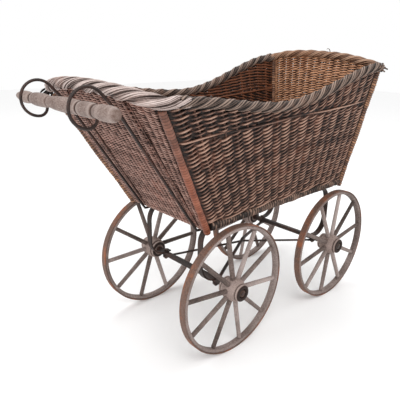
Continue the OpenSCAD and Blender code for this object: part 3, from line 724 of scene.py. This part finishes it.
# Doubled stakes beside the handle's rods, bound across at every few rows
BESIDE = 0.075 * 0.9   # distance from the handle's rod, as a share of the half width
for word in ("left", "right"):
    low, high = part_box("handle_scroll_" + word)
    bag = Strands()
    h = np.linspace(0.05, 0.955, 60)
    q0 = (low[1] + high[1]) / 2 / MM / half_width(0, h * RIM_H[0])
    spread = 0.012 + 0.016 * smooth((h - 0.5) / 0.45)
    shape = lambda q, v: end_shape(0, q, v)
    for k in (-1, 1):
        q = q0 - BESIDE + k * spread
        out = normal_of(shape, q, h, -1)
        bag.tube(shape(q, h) + out * 4.0, out, 2.6, 2.8, 7, 0.4 + 0.2 * k, 0.1, reach=3)
    for v in np.arange(0.08, 0.95, 0.026):
        half = float(np.interp(v, h, spread))
        q = float(np.interp(v, h, q0)) - BESIDE + np.linspace(-1.6, 1.6, 9) * half
        out = normal_of(shape, q, np.full(9, v), -1)
        proud = 4.4 + 1.4 * np.cos(np.linspace(-1.5, 1.5, 9))
        bag.tube(shape(q, np.full(9, v)) + out * proud[:, None], out, 1.8, 2.6, 6, rng.uniform(0, 1), 0.2,
                 reach=3)
    bag.make("doubled_stake_" + word, WILLOW_REAR)

# A cane end that has sprung loose from the front rim
bag = Strands()
t = np.linspace(0, 1, 24)
root = end_shape(1, np.array([-0.1]), np.array([1.0]))[0] + np.array([0.0, 0.0, 7.0])
twig = root + np.stack([-9 * t + 2 * np.sin(5 * t), 3 * t, 9 * np.sin(2.2 * t)], -1)
taper = np.linspace(2.2, 1.2, 24)
bag.tube(twig, np.tile([0.0, 1.0, 0.0], (24, 1)), taper, taper, 7, 0.6, 0.3, reach=2)
bag.make("loose_cane_end", BORDER_FRONT)


def rod_ends(name, root, aim, count, length):
    """A sheaf of cut rod ends that fans out from one place and sags a little."""
    sheaf = Strands()
    share = np.linspace(0, 1, 8)[:, None]
    for _ in range(count):
        heading = unit(np.array(aim) + rng.normal(0, 0.28, 3))
        line = (root + rng.normal(0, 3.0, 3) + heading * length * rng.uniform(0.7, 1.1) * share
                - np.array([0.0, 0.0, 4.0]) * share ** 2)
        face = unit(np.cross(heading, np.array([0.2, 0.3, 0.9])))
        sheaf.tube(line, np.tile(face, (8, 1)), 3.0, 3.3, 7, rng.uniform(0, 1), 0.15, reach=3, edge=0.6)
    sheaf.make(name, BORDER)


for side, word in SIDES:
    corner = rim_line(np.array([1.0]), side)[0]
    rod_ends("rod_ends_front_" + word, corner + np.array([0.0, 0.0, -2.0]),
             (0.75, side * 0.45, -0.05), 12, 13.0)
corner = rim_line(np.array([0.0]), 1)[0]
rod_ends("rod_ends_rear_left", corner + np.array([4.0, -4.0, -3.0]), (-0.8, 0.35, -0.5), 12, 20.0)

# ---- Turned and bent pieces ----------------------------------------------------------------

FULL_TURN = 6.28


def spline(keys, values, at):
    """Smooth curve through the key points, with slopes taken from their neighbours and no overshoot."""
    keys, values = np.array(keys, float), np.array(values, float)
    step = np.diff(values) / np.diff(keys)
    both = step[1:] + step[:-1]
    inner = np.where(step[1:] * step[:-1] > 0, 2 * step[1:] * step[:-1] / np.where(both == 0, 1, both), 0)
    slope = np.concatenate([[step[0]], inner, [step[-1]]])
    i = np.clip(np.searchsorted(keys, at) - 1, 0, len(keys) - 2)
    w = keys[i + 1] - keys[i]
    t = (at - keys[i]) / w
    return ((1 + 2 * t) * (1 - t) ** 2 * values[i] + t * (1 - t) ** 2 * w * slope[i]
            + t * t * (3 - 2 * t) * values[i + 1] + t * t * (t - 1) * w * slope[i + 1])


def turned(bag, base, way, keys, radii, sides, steps, tone, rough, groove=0.0):
    """A lathe turned piece: a radius curve carried round a straight axis, out of round by rough; its ends
    are closed. With groove, the tone falls where the radius is less than its mean close by, though not
    near the ends."""
    at = np.linspace(keys[0], keys[-1], steps)
    r = np.maximum(spline(keys, radii, at), 0.05)
    reach = max(1, int(round(7.0 / (at[1] - at[0]))))
    around = np.array([r[max(0, i - reach):i + reach + 1].mean() for i in range(steps)])
    inner = smooth((at - keys[0]) / 16) * smooth((keys[-1] - at) / 16)
    tone = np.clip(tone + np.clip((r - around) * groove, -0.5, 0.2) * inner, 0, 1)[:, None]
    way = np.array(way, float)
    side = unit(np.cross(way, np.array([0.29, 0.91, 0.3])))
    other = np.cross(way, side)
    a = angles(sides)
    r = r[:, None] * (1 + rough * np.sin(3 * a + at[:, None] / 17) * 0.5)
    line = np.array(base, float) + way * at[:, None]
    notes = np.stack([np.broadcast_to(at[:, None] * MM, r.shape),
                      np.broadcast_to((a / FULL_TURN)[None], r.shape), np.broadcast_to(tone, r.shape)], -1)
    bag.grid(line[:, None] + circles(side[None, None], other[None, None], a, r), notes)


def turned_bar():
    low, high = (np.array(v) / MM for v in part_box("handle_bar"))
    length = high[1] - low[1]
    x = (low[0] + high[0]) / 2 - REAR_AXLE / MM
    z = (low[2] + high[2]) / 2
    keys = np.array([0, 1, 4, 10, 22, 38, 50, 56, 57.5, 60, 64, 75, 90, 99, 102, 103.5, 106, 112, 130,
                     152, 178, 195, 205, 207, 210, 216, 228, 248, 266, 273, 276, 278, 284, 296, 306,
                     318, 327, 331, 337, 341, 342])
    radii = [0, 4.5, 8.2, 10.6, 11.8, 11.6, 10.2, 9.4, 8.9, 9.8, 10.9, 11.5, 11.4, 10.6, 9.2, 9.2, 10.4,
             11, 11.9, 12, 11.4, 10, 9.2, 9, 9.6, 10.3, 11.4, 11.7, 10.6, 8.4, 7.4, 8.2, 9.6, 10.7, 10.8,
             9.8, 8.2, 6.8, 5.8, 3.6, 0]
    bag = Strands()
    turned(bag, (x, low[1], z), (0, 1, 0), keys / keys[-1] * length, radii, sides=40, steps=360, tone=0.55,
           rough=0.012, groove=0.35)
    bag.make("turned_handle", BAR_WOOD, ["handle_bar"])


BAR_R = 12
SCROLL_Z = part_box("handle_bar")[1][2] / MM - BAR_R + 4.4   # the middle of the scrolls, over the bar's axis


def scroll_line(box_low, box_high):
    """The bent iron's line: up into the bar, round the scroll, and straight down the rear wall."""
    rod, big, small, leave = 5.0, 29.5, 14.0, 42.0
    drop, into_bar = 33.0, 7.4
    sx = box_low[0] + big + rod / 2
    sz = SCROLL_Z
    a = np.radians(np.linspace(0, -90, 10))
    tail = np.stack([sx + small * np.cos(a), sz - big + small + small * np.sin(a)], -1)
    start = np.array([[tail[0, 0], sz - into_bar]])
    a = np.radians(np.linspace(266, leave, 60))
    circle = np.stack([sx + big * np.cos(a), sz + big * np.sin(a)], -1)
    leave = math.radians(leave)
    off = np.array([sx + big * math.cos(leave), sz + big * math.sin(leave)])
    bend = off + drop * np.array([math.tan(leave), -1])
    foot = np.array([-64.0, box_low[2] + rod / 2])
    t = np.linspace(0, 1, 14)[1:, None]
    first = off + (bend - off) * t
    corner = bend + (foot - bend) * 0.02
    down = bend + (foot + np.array([-4.0, 6.0]) - bend) * t
    under = foot + np.array([[0.0, 0.6], [6.0, 0.0]])
    end = np.array([[box_high[0], foot[1]]])
    return np.concatenate([start, tail, circle, first, [corner], down, under, end])


turned_bar()
for word in ("left", "right"):
    low, high = (np.array(v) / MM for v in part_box("handle_scroll_" + word))
    low[0] -= REAR_AXLE / MM
    high[0] -= REAR_AXLE / MM
    flat = scroll_line(low, high)
    path = np.stack([flat[:, 0], np.full(len(flat), (low[1] + high[1]) / 2), flat[:, 1]], -1)
    bag = Strands()
    bag.tube(path, np.tile([0.0, 1.0, 0.0], (len(path), 1)), 5.0, 5.0, 12)
    bag.make("bent_scroll_" + word, BLACK_IRON, ["handle_scroll_" + word])

# ---- Wheels --------------------------------------------------------------------------------

SPOKES = 10
TURNS = {("rear", "left"): 0.0, ("rear", "right"): -8.0, ("front", "left"): 6.0, ("front", "right"): 9.0}
FELLOE_INNER, FELLOE_OUTER, FELLOE_HALF = 125.0, 132.95, 7.0
SPOKE_AT = [19, 23, 27, 40, 75, 105, 118, 123, 126]
SPOKE_R = [4.2, 4.9, 5.1, 5.0, 4.75, 4.6, 4.6, 4.7, 3.6]
HUB_LEN, HUB_SIDES, BORE_R = 51.0, 48, 7.6
HUB_AT = [0, 0.6, 2, 5, 6.2, 7, 8, 11, 15, 20, 25.5, 31, 36, 40, 42.5, 43.4, 44.2, 45.4, 48, 50, 51]
HUB_R = [12.5, 17.5, 19.2, 19.6, 18.4, 18.5, 20.3, 22, 23.1, 23.5, 23.5, 23.2, 21.8, 19.8, 18.3, 17.0,
         17.0, 17.6, 17.2, 16.0, 14.2]
HOLLOW_AT = [51.0, 50.4, 47, 43.2, 43.0, 43.0]
HOLLOW_R = [11.0, 9.9, 9.6, 9.6, 9.2, BORE_R]


def wood_rim(tail, body, centre, steps=144):
    """A closed ring: a rounded square section carried round the wheel's centre."""
    squared = lambda v: np.sign(v) * np.abs(v) ** 0.55
    a = np.radians(np.arange(0, 360, 24))
    section = np.stack([squared(np.cos(a)) * (FELLOE_OUTER - FELLOE_INNER) / 2,
                        -squared(np.sin(a)) * FELLOE_HALF], -1)
    r_mid = (FELLOE_INNER + FELLOE_OUTER) / 2
    a = 2 * np.pi * np.arange(steps + 1) / steps
    radial = np.stack([np.cos(a), np.zeros_like(a), np.sin(a)], -1)
    points = (centre + radial[:, None] * (r_mid + section[None, :, :1])
              + np.array([0, 1.0, 0]) * section[None, :, 1:])
    depth = np.linspace(0, 1, len(section))[None].repeat(len(a), 0)
    notes = np.stack([np.broadcast_to((a * r_mid * MM)[:, None], depth.shape), depth,
                      np.full_like(depth, rng.uniform(0.2, 0.8))], -1)
    bag = Strands()
    bag.grid(points, notes, capped=False)
    bag.make("wood_rim" + tail, WHEEL_WOOD, ["felloe" + tail], body)


def turned_spokes(tail, body, centre, start):
    bag = Strands()
    for k in range(SPOKES):
        angle = math.radians(start + 360 / SPOKES * k)
        way = np.array([math.cos(angle), 0.0, math.sin(angle)])
        radii = np.array(SPOKE_R) * rng.uniform(0.95, 1.05)
        turned(bag, centre, way, SPOKE_AT, radii, sides=14, steps=26, tone=rng.uniform(0, 1), rough=0.03)
    bag.make("turned_spokes" + tail, WHEEL_WOOD, ["spokes" + tail], body)


def turned_hub(tail, body, centre, side):
    """One closed profile: the inner face, the turned shell, the hollow in the nose and the bore. It is
    darker in its grooves, round the nose and in the hollow."""
    out = np.array([0.0, side * 1.0, 0.0])
    at = np.linspace(0, HUB_LEN, 110)
    shell = spline(HUB_AT, HUB_R, at)
    prof_at = np.concatenate([[0.0, 0.0], at, HOLLOW_AT, [0.0]])
    prof_r = np.concatenate([[BORE_R, 12.0], shell, HOLLOW_R, [BORE_R]])
    a = angles(HUB_SIDES)
    other = np.cross(out, np.array([1.0, 0.0, 0.0]))
    base = centre - out * HUB_LEN / 2
    points = (base + out * prof_at[:, None])[:, None] + (np.array([1.0, 0, 0]) * np.cos(a)[None, :, None]
              + other * np.sin(a)[None, :, None]) * prof_r[:, None, None]
    near = np.array([shell[max(0, i - 9):i + 10].mean() for i in range(len(shell))])
    raised_tone = np.clip(0.56 + 0.22 * (shell - near) - 0.5 * smooth((at - 48.2) / 2.4), 0, 0.8)
    raised_tone = np.concatenate([[0.5, 0.5], raised_tone, np.linspace(0.1, 0.0, len(HOLLOW_AT)), [0.0]])
    size = (len(prof_at), HUB_SIDES)
    notes = np.stack([np.broadcast_to(prof_at[:, None] * MM, size),
                      np.broadcast_to(a[None] / FULL_TURN, size),
                      np.broadcast_to(raised_tone[:, None], size)], -1)
    bag = Strands()
    bag.grid(points, notes, capped=False)
    bag.make("turned_hub" + tail, HUB_WOOD, ["hub" + tail], body)


for _, end in ENDS:
    for side, word in SIDES:
        tail = f"_{end}_{word}"
        centre = np.array([0.0 if end == "rear" else WHEELBASE, side * HALF_TRACK, WHEEL_R])
        body = "wheel" + tail
        wood_rim(tail, body, centre)
        turned_spokes(tail, body, centre, TURNS[end, word])
        turned_hub(tail, body, centre, side)

# ---- Finishes of the pieces that stay as designed ------------------------------------------

# Each node takes the last finish whose start its name has
KEPT = {"tyre_": TYRE_RUST, "bush_": BLACK_IRON, "spring_": BLACK_IRON, "brace_": BLACK_IRON,
        "rear_axle": BLACK_IRON, "front_axle": BLACK_IRON, "scroll_staples": BLACK_IRON, "axle_": BOLT_IRON,
        "spring_bolts": BOLT_IRON, "floor_": BOARDS}
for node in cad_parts:
    piece = bpy.data.objects.get(node)
    if piece is None:
        continue
    for start, material in KEPT.items():
        if node.startswith(start):
            for slot in piece.material_slots:
                slot.material = material

# ---- Floor, light and camera ---------------------------------------------------------------


def paper(start):
    """Pale studio paper, plain but for a faint cloudiness."""
    cloud = noise(start, here(start), 0.6, 2.0)
    return cloud.ramp([(0.0, (246, 246, 246)), (1.0, (250, 250, 250))]), None, None


bpy.ops.mesh.primitive_plane_add(size=12, location=(0, 0, 0))
ground = bpy.context.active_object
ground.name = "studio_floor"
ground.data.materials.append(finish("studio_paper", paper, 0.9, specular=0.1))

world = bpy.data.worlds.new("studio")
bpy.context.scene.world = world
world.use_nodes = True
world.node_tree.nodes["Background"].inputs[0].default_value = (1.0, 1.0, 1.0, 1)
world.node_tree.nodes["Background"].inputs[1].default_value = 1.0


def softbox(name, at, aim_z, size, watts):
    """A square lamp that faces a point over the middle of the floor."""
    lamp = bpy.data.lights.new(name, "AREA")
    lamp.shape, lamp.size, lamp.size_y, lamp.energy = "RECTANGLE", size, size, watts
    holder = bpy.data.objects.new(name, lamp)
    bpy.context.scene.collection.objects.link(holder)
    holder.location = at
    holder.rotation_euler = (Vector((0.0, 0.0, aim_z)) - Vector(at)).to_track_quat("-Z", "Y").to_euler()


softbox("key", (-0.9, -1.5, 2.0), 0.3, 1.2, 24)
softbox("fill", (-2.2, 0.6, 1.2), 0.35, 1.4, 10)
softbox("top", (0.5, 0.8, 2.4), 0.3, 1.6, 16)

bpy.context.scene.view_settings.view_transform = "Standard"

CAMERA_FROM_AXLE = (-0.5855, -0.6786, 0.5892)   # metres
yaw, pitch, roll = math.radians(42.17), math.radians(18.61), math.radians(0.62)
ahead = Vector((math.sin(yaw) * math.cos(pitch), math.cos(yaw) * math.cos(pitch), -math.sin(pitch)))
level_right = Vector((math.cos(yaw), -math.sin(yaw), 0))
level_up = level_right.cross(ahead)
right = level_right * math.cos(roll) + level_up * math.sin(roll)
up = level_up * math.cos(roll) - level_right * math.sin(roll)
lens = bpy.data.cameras.new("camera")
lens.sensor_width, lens.lens = 36.0, 40.65
camera = bpy.data.objects.new("camera", lens)
bpy.context.scene.collection.objects.link(camera)
turn = Matrix((right, up, -ahead)).transposed().to_4x4()
camera.matrix_world = Matrix.Translation(Vector(CAMERA_FROM_AXLE) + Vector((REAR_AXLE, 0, 0))) @ turn
bpy.context.scene.camera = camera
